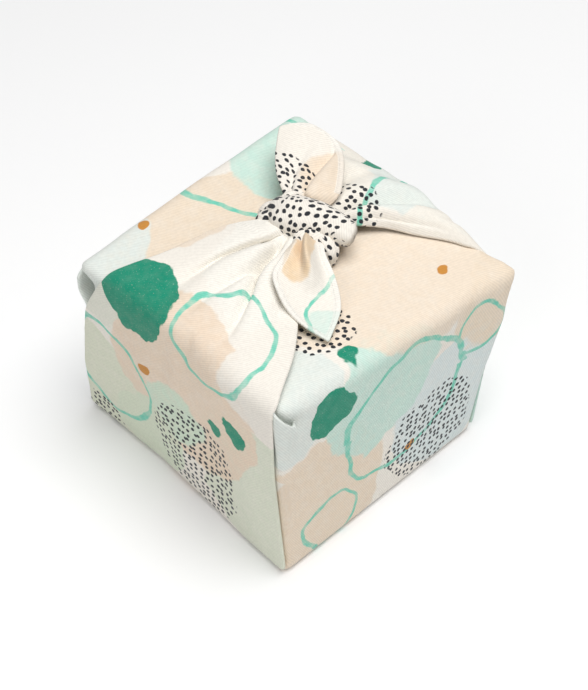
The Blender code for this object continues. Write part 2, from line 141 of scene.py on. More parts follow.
# Valleys (depth above 0) and ridges (below 0) that run along a panel.  A row is: station
# along the panel, place from 0 at its left edge to 1 at its right, depth, half-width, and how
# far the bottom leans to the right under the next gather.
FOLDS_A = (
    ((0.4, 0.32, 0, 8, 0), (1.4, 0.32, 0.9, 8, 0), (2.8, 0.312, 1.5, 7, 0), (4, 0.305, 1.6, 7, 0),
     (4.9, 0.285, 1.9, 6, 0), (5.6, 0.27, 2.6, 4.2, -0.6), (6.2, 0.272, 3.8, 2.6, -1.5),
     (6.8, 0.288, 4.8, 1.9, -2.2), (7.3, 0.33, 5.4, 1.7, -2.6), (7.8, 0.385, 5.6, 1.6, -2.7),
     (8.3, 0.46, 5.2, 1.6, -2.4), (8.8, 0.53, 3.8, 1.6, -1.6), (9.6, 0.56, 1.6, 1.6, 0)),
    ((3.6, 0.42, 0, 5, 0), (4.4, 0.42, 1, 4, 0), (5.1, 0.427, 1.8, 3.4, 0), (6, 0.445, 2.6, 3, 0.4),
     (6.5, 0.475, 3.2, 2.6, 0.6), (7, 0.505, 4.2, 2.3, 0.6), (7.4, 0.53, 5.4, 2, 0.6),
     (7.8, 0.55, 5.6, 1.8, 0.4), (8.2, 0.58, 4.4, 1.6, 0), (8.8, 0.62, 2.4, 1.4, 0)),
    ((4.2, 0.655, 0, 3, 0), (4.9, 0.65, 1.8, 2.6, 0.8), (5.5, 0.635, 3, 2.6, 1.4),
     (6.1, 0.61, 4.6, 2.4, 2), (6.6, 0.59, 5.8, 2.2, 2.4), (7.1, 0.565, 6.8, 2, 2.6),
     (7.6, 0.568, 7.4, 1.8, 2.6), (8.1, 0.61, 7.2, 1.7, 2.4), (8.6, 0.65, 6.2, 1.6, 2),
     (9.2, 0.69, 4.2, 1.6, 1), (10, 0.7, 1.2, 1.6, 0)),
    ((0.8, 0.53, 0, 6, 0), (1.6, 0.535, 1.3, 5, 0), (2.8, 0.55, 2, 4.6, 0), (3.5, 0.54, 1.3, 4.6, 0),
     (4.1, 0.53, 0, 4, 0)),
    ((5.6, 0.86, 0, 5, 0), (6.3, 0.86, 1.4, 5, 0), (7, 0.84, 2.4, 4.5, 0), (7.8, 0.84, 1.8, 4, 0),
     (8.6, 0.86, 0, 3, 0)),
    ((2.6, 0.13, 0, 6, 0), (3.4, 0.14, 1, 5, 0), (4.4, 0.16, 1.2, 5, 0), (5.4, 0.15, 0, 5, 0)),
    ((0.6, 0.74, 0, 12, 0), (2, 0.75, -0.9, 12, 0), (3.2, 0.78, -1.2, 10, 0), (4.6, 0.80, -0.8, 8, 0),
     (5.6, 0.82, 0, 6, 0)),
)
FOLDS_C = (
    ((5, 0.07, 0, 3, 0), (5.7, 0.10, 0.8, 3, -0.3), (6.4, 0.125, 1.6, 2.6, -0.6),
     (7.2, 0.155, 2.2, 2.4, -1), (8, 0.19, 2.4, 2, -1.6), (9, 0.24, 1.4, 1.6, -1)),
    ((3, 0.80, 0, 15, 0), (3.7, 0.79, 4, 14, 0), (4.4, 0.79, 4.4, 13, 0), (5.4, 0.80, 0, 10, 0)),
    ((3, 0.56, 0, 6, 0), (3.7, 0.56, 1.8, 6, 0), (4.4, 0.56, 2, 6, 0), (5.4, 0.56, 0, 6, 0)),
    ((3, 0.23, 0, 4, 0), (3.7, 0.22, 1.2, 4, 0), (4.4, 0.22, 1.2, 4, 0), (5.2, 0.21, 0, 4, 0)),
    ((3.2, 0.33, 0, 8, 0), (4.2, 0.34, 2, 7, 0), (5, 0.36, 3.4, 6, -1), (6, 0.40, 5, 5, -2.5),
     (7, 0.43, 6, 4, -3.5), (8, 0.48, 5, 3.2, -3), (9, 0.5, 2.5, 2.2, -1)),
    ((3.6, 0.62, 0, 8, 0), (4.6, 0.63, 1.6, 7, 0), (5.6, 0.64, 3, 5.5, 1.5), (6.6, 0.66, 4.4, 4.4, 2.5),
     (7.6, 0.68, 4.6, 3.4, 3), (9, 0.7, 2, 2.2, 1)),
    ((4.2, 0.82, 0, 6, 0), (5.2, 0.82, 1.2, 5, 0), (6.4, 0.84, 2.2, 3.6, 1.5), (7.6, 0.84, 2.4, 2.6, 1.5),
     (9, 0.85, 1, 1.8, 0)),
    ((0.4, 0.35, 0, 14, 0), (2, 0.35, 1, 12, 0), (3, 0.34, 1.2, 10, 0), (4, 0.33, 0, 8, 0)),
    ((0.4, 0.68, 0, 14, 0), (2.2, 0.67, 1.2, 12, 0), (3.2, 0.66, 1, 10, 0), (4, 0.65, 0, 8, 0)),
)

# The free ends, from the knot to the tip: left edge, middle and right edge.
FRONT_END = (
    ((-4, 3.5, 113.5), (-0.5, 8, 115.5), (4, 14, 113.5)),
    ((3, -2, 116.5), (7, 2.5, 118), (11, 9, 116.5)),
    ((7.5, -12, 119), (15, -5.5, 117.5), (17.5, 4, 117)),
    ((12.5, -22, 119.5), (22, -10, 115), (26.5, 0.5, 115)),
    ((21, -26.5, 117), (27.5, -13.5, 112), (35, -4, 112.5)),
    ((30, -28.5, 113.5), (35, -17.5, 110.2), (41, -8.5, 110.5)),
    ((39, -28, 111), (42.5, -21, 109.2), (45, -14, 109.2)),
    ((50.5, -25.2, 108.6), (51, -25, 108.6), (51.2, -24.5, 108.6)),
)
FOLDS_FRONT = (
    ((0.4, 0.18, 0, 1.6, 0), (1, 0.15, 2.2, 1.8, 0), (1.6, 0.14, 3, 2.2, 0), (2.2, 0.17, 1.6, 2.8, 0),
     (3, 0.20, 0, 3, 0)),
    ((0.4, 0.52, 1, 1.6, 0), (1, 0.54, 4.5, 1.7, -1), (1.5, 0.56, 7.5, 2.4, -2),
     (2, 0.57, 8.4, 3.2, -2.6), (2.6, 0.56, 6.8, 4, -2.2), (3.2, 0.53, 4, 5, -1),
     (4, 0.49, 1.3, 6, 0), (5, 0.48, 0.2, 6, 0), (5.6, 0.48, 0, 6, 0)),
    ((0.4, 0.38, 0, 1.6, 0), (1, 0.37, -1.4, 1.5, 0), (1.6, 0.38, -2, 1.7, 0.6),
     (2.2, 0.41, -1.8, 2, 0.8), (2.8, 0.42, -0.8, 2.4, 0), (3.4, 0.42, 0, 3, 0)),
    ((1, 0.80, 0, 2.4, 0), (1.8, 0.82, -0.8, 3, 0), (3, 0.82, -1, 4, 0), (4.4, 0.82, -0.4, 4, 0),
     (5.6, 0.80, 0, 4, 0)),
)
BACK_END = (
    ((-19.5, 15, 115), (-12, 18.5, 117.5), (-3.5, 24.5, 116)),
    ((-23.5, 16, 119.5), (-13.5, 20, 122.5), (-3.5, 32, 119.5)),
    ((-31.5, 20, 121), (-19.5, 26.5, 124), (-8, 38.5, 120.5)),
    ((-39, 26, 122), (-25.5, 33.5, 124.4), (-14.5, 45.5, 121)),
    ((-44.5, 32, 123), (-31.5, 40.5, 124.6), (-20, 50, 121.5)),
    ((-49, 37.5, 124), (-37, 45, 124.8), (-27, 53, 122.4)),
    ((-50, 40, 124.6), (-40.5, 47.5, 124.8), (-33.5, 52.5, 123.6)),
    ((-47, 45, 124.6), (-43, 49, 124.8), (-39.5, 51, 124.4)),
)
FOLDS_BACK = (
    ((0, 0.25, 0.6, 2, 0), (1, 0.20, 3.2, 2.2, 1), (2, 0.24, 4.2, 3, 1.5), (3, 0.33, 3, 3.8, 1.5),
     (4, 0.44, 1.6, 4.6, 1), (5.2, 0.50, 0.5, 5, 0), (6.4, 0.5, 0, 5, 0)),
    ((0, 0.50, 0.6, 2, 0), (1, 0.42, 3, 2.2, 2), (2, 0.48, 5, 3.2, 3.5), (3, 0.60, 5, 3.6, 4),
     (4, 0.76, 3, 3.6, 3), (5, 0.88, 1, 3.2, 1), (6, 0.94, 0, 3, 0)),
    ((1, 0.72, 0, 3, 0), (2, 0.76, -1.2, 4, 0), (3.2, 0.84, -1, 4, 0), (4.4, 0.9, 0, 3, 0)),
)

# The knot.  A row of a strand is one section of it: its middle, half-width, half-height and
# twist in degrees.
KNOT_BAND = (
    ((-17.6, 6.8, 110), 3.4, 3, -6),
    ((-17.8, 6.8, 114.6), 5.4, 4.4, -6),
    ((-16.2, 7.6, 116.8), 7.6, 6.4, -4),
    ((-12.2, 8.6, 117.2), 9.6, 8.4, 0),
    ((-7, 11.2, 117.3), 10.2, 8.8, 2),
    ((-1.6, 14.6, 117.5), 9.4, 8, 4),
    ((3.4, 16.8, 117.5), 8.6, 7.2, 8),
    ((10, 18.8, 117.2), 7.2, 6.2, 12),
    ((14.4, 20, 116.8), 6.4, 5.4, 14),
    ((15, 20.2, 116.7), 5.7, 4.7, 14),
    ((15.1, 20.25, 116.7), 3.6, 2.8, 14),
    ((15.15, 20.3, 116.7), 0.4, 0.3, 14),
)
SMALL_STRANDS = (
    # the strand that the band ties down, seen in the gaps under it
    (((-9.5, 23, 113), 3, 2, 0), ((-7, 20.5, 115), 7, 4.4, 0), ((-1, 14, 115.6), 8.5, 5.2, 0),
     ((3.5, 9, 115.6), 8.5, 5, 0), ((7.5, 4.5, 114.6), 6.4, 3.6, 0), ((9, 2.5, 113), 2.4, 1.6, 0)),
    # two small rolls at the band's left end
    (((-10, 9, 115), 2, 1.6, 0), ((-14.6, 5.6, 117.2), 2.8, 2.4, 0), ((-18.2, 2.2, 117), 2.9, 2.4, 0),
     ((-20.8, 0.4, 114.6), 2.4, 2, 0), ((-21.6, 0, 111), 1.6, 1.4, 0)),
    (((-17, 11.6, 117), 1.4, 1.2, 0), ((-20, 8.6, 118.2), 1.8, 1.3, 0), ((-22, 5.6, 117.8), 1.8, 1.3, 0),
     ((-23.6, 3.6, 115), 1.5, 1.2, 0), ((-24, 3.2, 111), 1, 1, 0)),
    # a roll across the root of the back end
    (((-20, 12.6, 118), 1, 0.9, 0), ((-18.7, 13.8, 120.6), 1.3, 1.2, 0),
     ((-16.8, 16.2, 121.4), 1.4, 1.2, 0), ((-15, 18.6, 119.8), 1.1, 1, 0),
     ((-14, 20, 116), 0.8, 0.8, 0)),
    # the crumpled folds under the band's right end
    (((3, 10.6, 114), 4, 2, 0), ((8.6, 9.8, 116), 5.2, 2.6, 0), ((12.8, 9.2, 115), 5.4, 2.6, 0),
     ((15.6, 8.6, 112.6), 4.4, 2.2, 0), ((16.4, 8.4, 109.6), 3.4, 1.4, 0), ((16.4, 8.4, 107), 2.4, 1, 0)),
)

# Panels B and D on the top: where each ends, its height over panel B, its half-width there,
# how far it keeps its full width, and how far its side skirt lies behind panels A and C.
PANEL_B = {"end": -44, "lift": 0, "end_half": 30, "full": 40, "behind": 3.0}
PANEL_D = {"end": 6, "lift": 1.4, "end_half": 52, "full": 52, "behind": 1.6}
SKIRT_END = 34.0         # depth of a side skirt at the end of its panel
TIP_BACK = 62.0          # how far the hidden tip of a flat panel is folded back under it

# Creases that run along the knot's strands: the angle round the strand in degrees where each
# starts and ends, its depth as a share of the radius and its half-width in radians.
BAND_CREASES = ((60, 40, 0.10, 0.20), (112, 128, 0.07, 0.22), (150, 140, 0.06, 0.2))
ROLL_CREASES = ((60, 80, 0.1, 0.3), (130, 110, 0.1, 0.3))
CRUMPLED_CREASES = tuple((turn, turn + 8, 0.34, 0.13) for turn in (22, 52, 88, 126))

# Soft troughs and swellings: both ends of a line, its half-width and the shift at it.
SOFT = (
    ((-20, -66, 112), (-38, -70, 84), 7, (0.2, 1.6, -0.8)),
    ((-2, -69, 104), (-10, -70, 72), 6, (0, 1.8, 0)),
    ((24, -69, 108), (12, -70, 84), 5, (0, 1.3, -0.4)),
    ((-46, -69, 60), (-20, -69, 22), 11, (0, 1.6, 0)),
    ((-22, -69, 76), (0, -69, 30), 8, (0, -1.2, 0)),
    ((14, -69, 74), (26, -69, 24), 9, (0, 1.5, 0)),
    ((-52, -69, 2), (20, -69, 0), 14, (0, 2.6, 0)),
    ((-69, -40, 105), (-69, 60, 105), 8, (-0.8, 0, 0.9)),
    ((64, 67, 104), (69, 66, 98), 7, (0.4, 2.3, 2.3)),
    ((69, 69, 96), (69, 69, 58), 11, (1.9, 2, 0)),
    ((-69, -69, 48), (-69, -69, 26), 8, (-0.9, -0.9, 0)),
    ((44, -69, 72), (52, -69, 20), 8, (0, -1.3, 0)),
    ((69, 6, 92), (69, -8, 46), 11, (-1.5, 0, 0)),
    ((69, 44, 96), (69, 36, 30), 11, (-1.5, 0, 0)),
    ((69, -34, 90), (69, -44, 34), 10, (1.2, 0, 0)),
    ((-69, 20, 95), (-69, 10, 40), 12, (0.9, 0, 0)),
    ((-69, -36, 80), (-69, -20, 24), 10, (0.8, 0, 0)),
    ((10, 69, 70), (24, 69, 24), 12, (0, -0.9, 0)),
    ((-40, 69, 84), (-28, 69, 30), 10, (0, -0.8, 0)),
    ((-60, -20, 107), (-30, 2, 108), 7, (0, 0, -0.8)),
    ((-64, 30, 107), (-28, 20, 108), 8, (0, 0, -0.7)),
    ((60, -10, 106), (30, 4, 106), 8, (0, 0, -0.8)),
    ((62, 30, 106), (30, 24, 106), 7, (0, 0, -0.7)),
)


# -------- shapes
def smooth(value, low, high):
    """0 below low and 1 above high, with a smooth rise between them."""
    share = np.clip((value - low) / (high - low), 0, 1)
    return share * share * (3 - 2 * share)


def shares(count):
    """Even shares from 0 to 1 in count steps."""
    return np.linspace(0.0, 1.0, count + 1)


def stacked(*parts):
    """Coordinates spread to one shape and put together as points or flat places."""
    return np.stack(np.broadcast_arrays(*parts), axis=2)


def unit(vectors):
    """Vectors made one long."""
    return vectors / np.maximum(np.linalg.norm(vectors, axis=-1, keepdims=True), 1e-9)


def curve(stations, values, at):
    """A smooth curve through values at uneven stations: cubics whose slopes are the mean
    slope of the two neighbouring spans."""
    stations, values, at = (np.asarray(part, float) for part in (stations, values, at))
    spans = np.diff(stations)
    wide = (-1,) + (1,) * (values.ndim - 1)
    rise = np.diff(values, axis=0) / spans.reshape(wide)
    slope = np.concatenate((rise[:1], (rise[1:] + rise[:-1]) / 2, rise[-1:]))
    left = np.clip(np.searchsorted(stations, at, side="right") - 1, 0, len(spans) - 1)
    t = np.clip((at - stations[left]) / spans[left], 0, 1).reshape(wide)
    span = spans[left].reshape(wide)
    return ((2 * t ** 3 - 3 * t ** 2 + 1) * values[left] + (t ** 3 - 2 * t ** 2 + t) * span * slope[left]
            + (3 * t ** 2 - 2 * t ** 3) * values[left + 1] + (t ** 3 - t ** 2) * span * slope[left + 1])


def row_normals(grid):
    """One unit normal for each row of a grid, from the middle half of its width."""
    across, along = np.gradient(grid, axis=1), np.gradient(grid, axis=0)
    quarter = grid.shape[1] // 4
    middle = unit(np.cross(across, along)[:, quarter:-quarter]).mean(axis=1, keepdims=True)
    return unit(middle)


def gathered(sections, folds, across, along, followed=0):
    """A gathered surface: a parabola through each section's three points, with folds.
    Returns it and each point's share of the way across.

    A fold sinks the surface along the section's normal by depth * exp(-|x|^p), where x is the
    distance from the fold in half-widths and p goes from 1.5 in a tight fold to 2 in a soft
    one, and shifts it sideways by lean * the same bell, so that a gather can hang over the
    valley beside it.  Columns swing over to run along the first few folds, the followed ones,
    which keeps those folds' edges clean.
    """
    stations = np.arange(len(sections), dtype=float)
    at = (len(sections) - 1) * shares(along)
    points = curve(stations, np.array(sections, float), at)
    even = shares(followed + 1)
    swing = smooth(at, 0.3, 4.0)
    tracks = np.repeat(even[None, :], along + 1, axis=0)
    for k, fold in enumerate(folds[:followed], 1):
        rows = np.array(fold, float)
        tracks[:, k] += (curve(rows[:, 0], rows[:, 1], at) - even[k]) * swing
    u = np.array([np.interp(shares(across), even, row) for row in tracks])[..., None]
    left, middle, right = (points[:, k, None, :] for k in range(3))
    grid = left * (1 - u) * (1 - 2 * u) + middle * 4 * u * (1 - u) + right * u * (2 * u - 1)
    width = np.linalg.norm(np.diff(grid, axis=1), axis=2).sum(axis=1)[:, None]
    normal, side = row_normals(grid), unit(right - left)
    moved = np.zeros_like(grid)
    for fold in folds:
        rows = np.array(fold, float)
        place, depth, half, leaning = curve(rows[:, 0], rows[:, 1:], at).T
        inside = ((at >= rows[0, 0]) & (at <= rows[-1, 0]))[:, None]
        x = (u[:, :, 0] - place[:, None]) * width / half[:, None]
        power = 0.75 + 0.25 * smooth(half, 3.5, 7.0)[:, None]
        bell = np.exp(-(x * x + 0.02) ** power) * inside
        moved += (bell * leaning[:, None])[..., None] * side - (bell * depth[:, None])[..., None] * normal
    return grid + moved, u[:, :, 0]


def lengths(grid, axis):
    """Length along a grid's rows (axis 1) or columns (axis 0), from its first line."""
    steps = np.linalg.norm(np.diff(grid, axis=axis), axis=2)
    start = np.zeros_like(steps[:1] if axis == 0 else steps[:, :1])
    return np.concatenate((start, np.cumsum(steps, axis=axis)), axis=axis)


def unrolled(grid):
    """Lengths across a grid's rows from its middle column, and along that column."""
    middle = slice(grid.shape[1] // 2, grid.shape[1] // 2 + 1)
    x = lengths(grid, 1)
    return x - x[:, middle], lengths(grid[:, middle], 0)


def half_turn(edge, outward, normal, radius):
    """Columns of a fold that turns an edge under: a half circle below the surface."""
    turn = (math.pi * shares(TURN))[1:][None, :, None]
    return (edge[:, None] + outward[:, None] * radius * np.sin(turn)
            - normal * radius * (1 - np.cos(turn)))


def turned_edge(grid, normal, reach):
    """The edge of a grid's first column, turned under: a half circle, then a layer below.

    The layer follows the grid one layer lower and ends reach millimetres in.  Columns are
    given from the fold inwards.
    """
    outward = unit(grid[:, 0] - grid[:, 2])
    outward = unit(outward - (outward * normal[:, 0]).sum(axis=1, keepdims=True) * normal[:, 0])
    turn = half_turn(grid[:, 0], outward, normal, LAYER / 2)
    flat = lengths(grid, 1)
    places = shares(UNDER)[1:]
    under = []
    for row, length, far in zip(grid - normal * LAYER, flat, reach):
        at = np.minimum(places * far, length[-1] * 0.48)
        under.append(np.column_stack([np.interp(at, length, row[:, k]) for k in range(3)]))
    return np.concatenate((turn, np.array(under)), axis=1)


def pleated_panel(sections, folds, across, along, side):
    """Panel A (side -1) or C (side 1) from the split to the knot, with both edges turned
    under, and its place on the flat cloth."""
    grid, places = gathered(sections, folds, across, along, 3 if side < 0 else 0)
    normal = row_normals(grid)
    reach = np.interp(shares(along), (0, 0.4, 0.7, 1), (PLEAT, 32, 12, 6))
    left = turned_edge(grid, normal, reach)[:, ::-1]
    right = turned_edge(grid[:, ::-1], normal, reach)
    x = lengths(grid, 1)
    x_middle = np.array([[np.interp(0.5, place, row)] for place, row in zip(places, x)])
    # the cloth's own middle line drifts to where the section's middle point lies on the top
    drift = sections[4][1][0] * smooth(np.arange(along + 1), 0, along * 0.4)[:, None]
    x = x - x_middle + drift
    y = SPLIT + HALF + unrolled(grid)[1]

    def run_on(columns, edge_x, sign):
        """Places of a turned-under layer, which run on from the edge of the flat panel."""
        edge = grid[:, :1] if sign < 0 else grid[:, -1:]
        return edge_x + sign * lengths(np.concatenate((edge, columns), axis=1), 1)[:, 1:]
    left_x = run_on(left[:, ::-1], x[:, :1], -1)[:, ::-1]
    x = np.concatenate((left_x, x, run_on(right, x[:, -1:], 1)), axis=1)
    return np.concatenate((left, grid, right), axis=1), stacked(x * -side, y * side)


def corner_section(z, inset, layer):
    """One corner of a wall's section at height z, and its place on the flat cloth.

    Points are (along the wall, out of the wall) from the middle of the wrap: the outer fold
    of panel A or C, the layer under it, the inner fold on the cloth's diagonal, the skirt of
    panel B or D, and the rounded upright edge.  At the foot they shrink to a plain corner.
    """
    grown = smooth(z, PLAIN, STEP_HEIGHT)
    share = min(max(z - PLAIN, 0) / (SPLIT - PLAIN), 1)
    r = layer / 2 * grown
    depth = PLEAT * share
    fold = HALF - EDGE_R + (EDGE_R + 0.2 - inset * share) * grown
    inner = fold - depth
    turn = math.pi * shares(TURN)
    outer_turn = np.column_stack((fold - r + r * np.sin(turn), r - r * np.cos(turn)))
    under = shares(UNDER)[1:, None]
    under = np.column_stack((fold - r + (inner - fold + r) * under, np.full(UNDER, 2 * r)))
    inner_turn = np.column_stack((inner - r * np.sin(turn), 3 * r - r * np.cos(turn)))[1:-1]
    skirt = shares(UNDER)[:-1, None]
    skirt = np.column_stack((inner + (HALF - EDGE_R - inner) * skirt, np.full(UNDER, 4 * r)))
    arc = math.pi / 2 * shares(ARC)
    edge = np.column_stack((HALF - EDGE_R * (1 - np.sin(arc)), 4 * r + EDGE_R * (1 - np.cos(arc))))
    points = np.vstack((outer_turn, under, inner_turn, skirt, edge))
    outer_count = TURN + UNDER + 3      # up to the middle of the inner turn, on the diagonal
    count = len(points) - outer_count
    first = np.column_stack((np.linspace(fold, fold + depth, outer_count), np.full(outer_count, HALF + z)))
    second = np.column_stack((np.full(count, HALF + z), np.linspace(fold + depth, HALF - EDGE_R, count)))
    return np.column_stack((points[:, 0], HALF - points[:, 1])), np.vstack((first, second))


def wall_section(z):
    """The closed section at one height, anticlockwise from the left of wall A, and its place
    on the flat cloth; and the rows that panels A, B, C and D start from."""
    shapes = (((1, -1), FRONT_INSET, LAYER), ((1, 1), RIGHT_INSET, RIGHT_LAYER),
              ((-1, 1), RIGHT_INSET, RIGHT_LAYER), ((-1, -1), LEFT_INSET, LAYER))
    front, right, back, left = (
        np.hstack([part * sign for part in corner_section(z, inset, layer)]) for sign, inset, layer in shapes)

    def wall(first, last, steps):
        share = shares(steps)[1:-1, None]
        return first + (last - first) * share
    walls = (wall(left[0], front[0], ACROSS_A), wall(front[-1], right[-1], ACROSS_B),
             wall(right[0], back[0], ACROSS_A), wall(back[-1], left[-1], ACROSS_B))
    loop = np.vstack((walls[0], front, walls[1], right[::-1], walls[2], back, walls[3], left[::-1]))
    outer, inner = slice(0, TURN + UNDER + 1), slice(2 * TURN + UNDER, None)
    rows = (np.vstack((left[outer][::-1], walls[0], front[outer])),
            np.vstack((front[inner], walls[1], right[inner][::-1])),
            np.vstack((right[outer][::-1], walls[2], back[outer])),
            np.vstack((back[inner], walls[3], left[inner][::-1])))
    loop_points, *starts = (np.column_stack((part[:, :2], np.full(len(part), z)))
                            for part in (loop, *rows))
    return loop_points, loop[:, 2:], starts


def joined(grid, row):
    """Make a grid start exactly at a row of points, easing off over the first rows."""
    share = 1 - smooth(np.arange(len(grid)), 0, EASE)
    return grid + (row - grid[0]) * share[:, None, None]


def flat_panel(spec, across, steps):
    """Panel B from the split up the wall, over the turn and in over the top, with a skirt at
    each side; D is the same, mirrored by the caller.  Returns points and flat places.

    Every point across follows the same bent path, and the deeper it lies on a skirt the
    further inside and the lower that path runs, so the skirts meet the turn in a mitre.
    """
    side = HALF - spec["behind"]
    turn = math.pi / 2 * shares(ARC)
    skirt = shares(UNDER)[1:]
    y = np.concatenate((np.linspace(0.0, side - EDGE_R, across // 2 + 1),
                        side - EDGE_R * (1 - np.sin(turn[1:])), np.full(len(skirt), side)))
    rounding = np.concatenate((np.zeros(across // 2 + 1), EDGE_R * (1 - np.cos(turn[1:])),
                               np.full(len(skirt), EDGE_R)))
    share = np.concatenate((np.zeros(across // 2 + 1 + ARC), skirt))
    y, rounding, share = (np.concatenate((first * part[::-1], part[1:]))
                          for part, first in ((y, -1), (rounding, 1), (share, 1)))
    top = TOP + spec["lift"]
    wall_n, bend_n, top_n = steps
    depth = rounding + (PLEAT - EDGE_R) * share
    radius = np.maximum(TOP_R - depth, 0.8)
    up = shares(wall_n)[:, None]
    wall_end = top - depth - radius
    wall = stacked(HALF - depth, y, SPLIT + up * (wall_end - SPLIT))
    angle = (math.pi / 2 * shares(bend_n))[1:, None]
    centre = HALF - depth - radius
    bend = stacked(centre + radius * np.cos(angle), y, wall_end + radius * np.sin(angle))
    inward = shares(top_n)[1:, None]
    x = centre + inward * (spec["end"] - centre)
    past = np.clip((HALF - x - spec["full"]) / (HALF - spec["end"] - spec["full"]), 0, 1)
    narrow = 1 - past * (1 - spec["end_half"] / side)
    hang = depth - rounding + (SKIRT_END * share - depth + rounding) * inward
    flat_top = stacked(x, y * narrow, top - rounding - hang)
    end, sunk = flat_top[-1:], np.array([0, 0, LAYER / 2])
    turn_back = (math.pi * shares(3))[1:, None, None]
    fold = end - sunk * (1 - np.cos(turn_back)) - np.array([LAYER / 2, 0, 0]) * np.sin(turn_back)
    tip = min(TIP_BACK, HALF - TOP_R - spec["end"] - 6)
    back = shares(TIP_STEPS)[1:, None, None] * tip
    under = (end - 2 * sunk) * (1, 0.93, 1) + back * (1, 0, 0)
    grid = np.concatenate((wall, bend, flat_top, fold, under))
    sideways, away = unrolled(grid)
    return grid, stacked(HALF + SPLIT + away, sideways)


def open_ear(grid):
    """Draw panel D's cloth back from its front upright edge, which leaves the tunnel's mouth."""
    x, y, z = (grid[..., k] for k in range(3))
    tall = smooth(z, 73, 86) * (1 - smooth(z, 97.5, 104))
    near = smooth(-y, 42, HALF - 3.5) * smooth(-x, 30, HALF - 6) * tall
    return grid + near[..., None] * EAR_DRAWN


def ear_lip():
    """The outer layer of panel D's ear, over the cloth that is drawn back: it follows the
    panel's own wall and turn, comes out at the corner as a thin lip and runs back inside."""
    top, steps = TOP + PANEL_D["lift"], 26
    a = shares(steps - 1)[None, :]
    b = shares(47)[:, None]
    rise, bend = top - EAR_LOW - TOP_R, math.pi / 2 * TOP_R
    path = b * (rise + bend + 3)
    angle = np.clip((path - rise) / TOP_R, 0, math.pi / 2)
    z = EAR_LOW + np.minimum(path, rise) + TOP_R * np.sin(angle)
    x = -HALF + TOP_R * (1 - np.cos(angle)) + np.maximum(path - rise - bend, 0)
    y = -40 - a * (28.3 - 6.0 * smooth(z, 96, 104))
    tall = smooth(z, 74, 84) * (1 - smooth(z, 98, 105))
    stand = 1.3 * smooth(a, 0.0, 0.6) * tall - 0.8
    tuck = smooth(a, 0.45, 1.0) * (1.4 - 0.9 * smooth(z, 96, 104) + 5.0 * (1 - smooth(z, 80, 90)))
    out = stacked(-np.cos(angle), 0, np.sin(angle))
    grid = stacked(x, y, z) + out * (stand - tuck)[..., None]
    edge, before = grid[:, -1], grid[:, -3]
    outward = unit(edge - before)
    turn = half_turn(edge, outward, out[:, :1], 0.5)
    inside = shares(8)[1:][None, :, None]
    back = turn[:, -1:] - outward[:, None] * 16 * inside - out[:, :1] * 1.8 * inside ** 2
    whole = np.concatenate((grid, turn, back), axis=1)
    flat = stacked(-HALF - EAR_LOW - path, y)
    past = lengths(whole, 1)[:, steps:] - lengths(whole, 1)[:, steps - 1:steps]
    return whole, np.concatenate((flat, flat[:, -1:] + past[..., None] * (0, -1)), axis=1)


def lip_height(y):
    """Height of the small pocket's lip on panel B's wall, from the front corner inwards."""
    return np.interp(y, (-71.0, -68.2, -66.0, -63.2, -60.8, -58.8, -57.0, -50.6),
                     (105.4, 103.6, 101.6, 97.6, 95.0, 94.2, 94.4, 94.8))


def dent_pocket(grid):
    """Push panel B's cloth in just above the pocket's lip."""
    x, y, z = (grid[..., k] for k in range(3))
    above = z - lip_height(y)
    near = smooth(-y, 53, 60) * smooth(x, 50, 60)
    near = near * np.exp(-((above - 0.5) / 4.2) ** 2)
    return grid - near[..., None] * (POCKET_DEPTH, 0, 0)


def tuck_lip():
    """The lip of the small pocket at panel B's front upper corner: the wall's cloth rises to
    a slanting fold and turns back down behind it."""
    a = shares(27)[:, None]
    b = shares(23)[None, :]
    y = -71.0 + 20.4 * a + 0 * b
    z = 70 + (lip_height(y) - 70) * b
    stand = (1.9 * smooth(b, 0.0, 0.9) * (1 - smooth(a, 0.42, 0.72)) * (0.5 + 0.5 * smooth(a, 0.1, 0.3))
             - 0.7 - 2.4 * smooth(a, 0.52, 0.72) * smooth(b, 0.8, 1.0))
    # round the upright edge, under panel A's fold
    centre, middle = HALF - EDGE_R, -(HALF - PANEL_B["behind"] - EDGE_R + 1.4)
    turn = np.clip((middle - y) / EDGE_R, 0, math.pi / 2)
    out = np.stack((np.cos(turn), -np.sin(turn), 0 * turn), axis=2)
    foot = stacked(centre, np.maximum(y, middle), z)
    grid = foot + out * (EDGE_R + stand)[..., None]
    up = unit(grid[:, -1] - grid[:, -3])
    out = out[:, -1:]
    turn = half_turn(grid[:, -1], up, out, 0.45)
    back = turn[:, -1:] - up[:, None] * 7 * shares(5)[1:][None, :, None]
    whole = np.concatenate((grid, turn, back), axis=1)
    flat = stacked(HALF + whole[..., 2], whole[..., 1]).copy()
    flat[:, 24:, 0] = flat[:, 23:24, 0] + np.linspace(0.3, 8, whole.shape[1] - 24)
    return whole, flat


def free_end(sections, folds, across, along, side):
    """A free end of the cloth, and its place at the corner of the flat cloth."""
    grid = gathered(sections, folds, across, along)[0]
    x, y = unrolled(grid)
    return grid, stacked(x * -side, (TIP - y[-1] + y) * side)


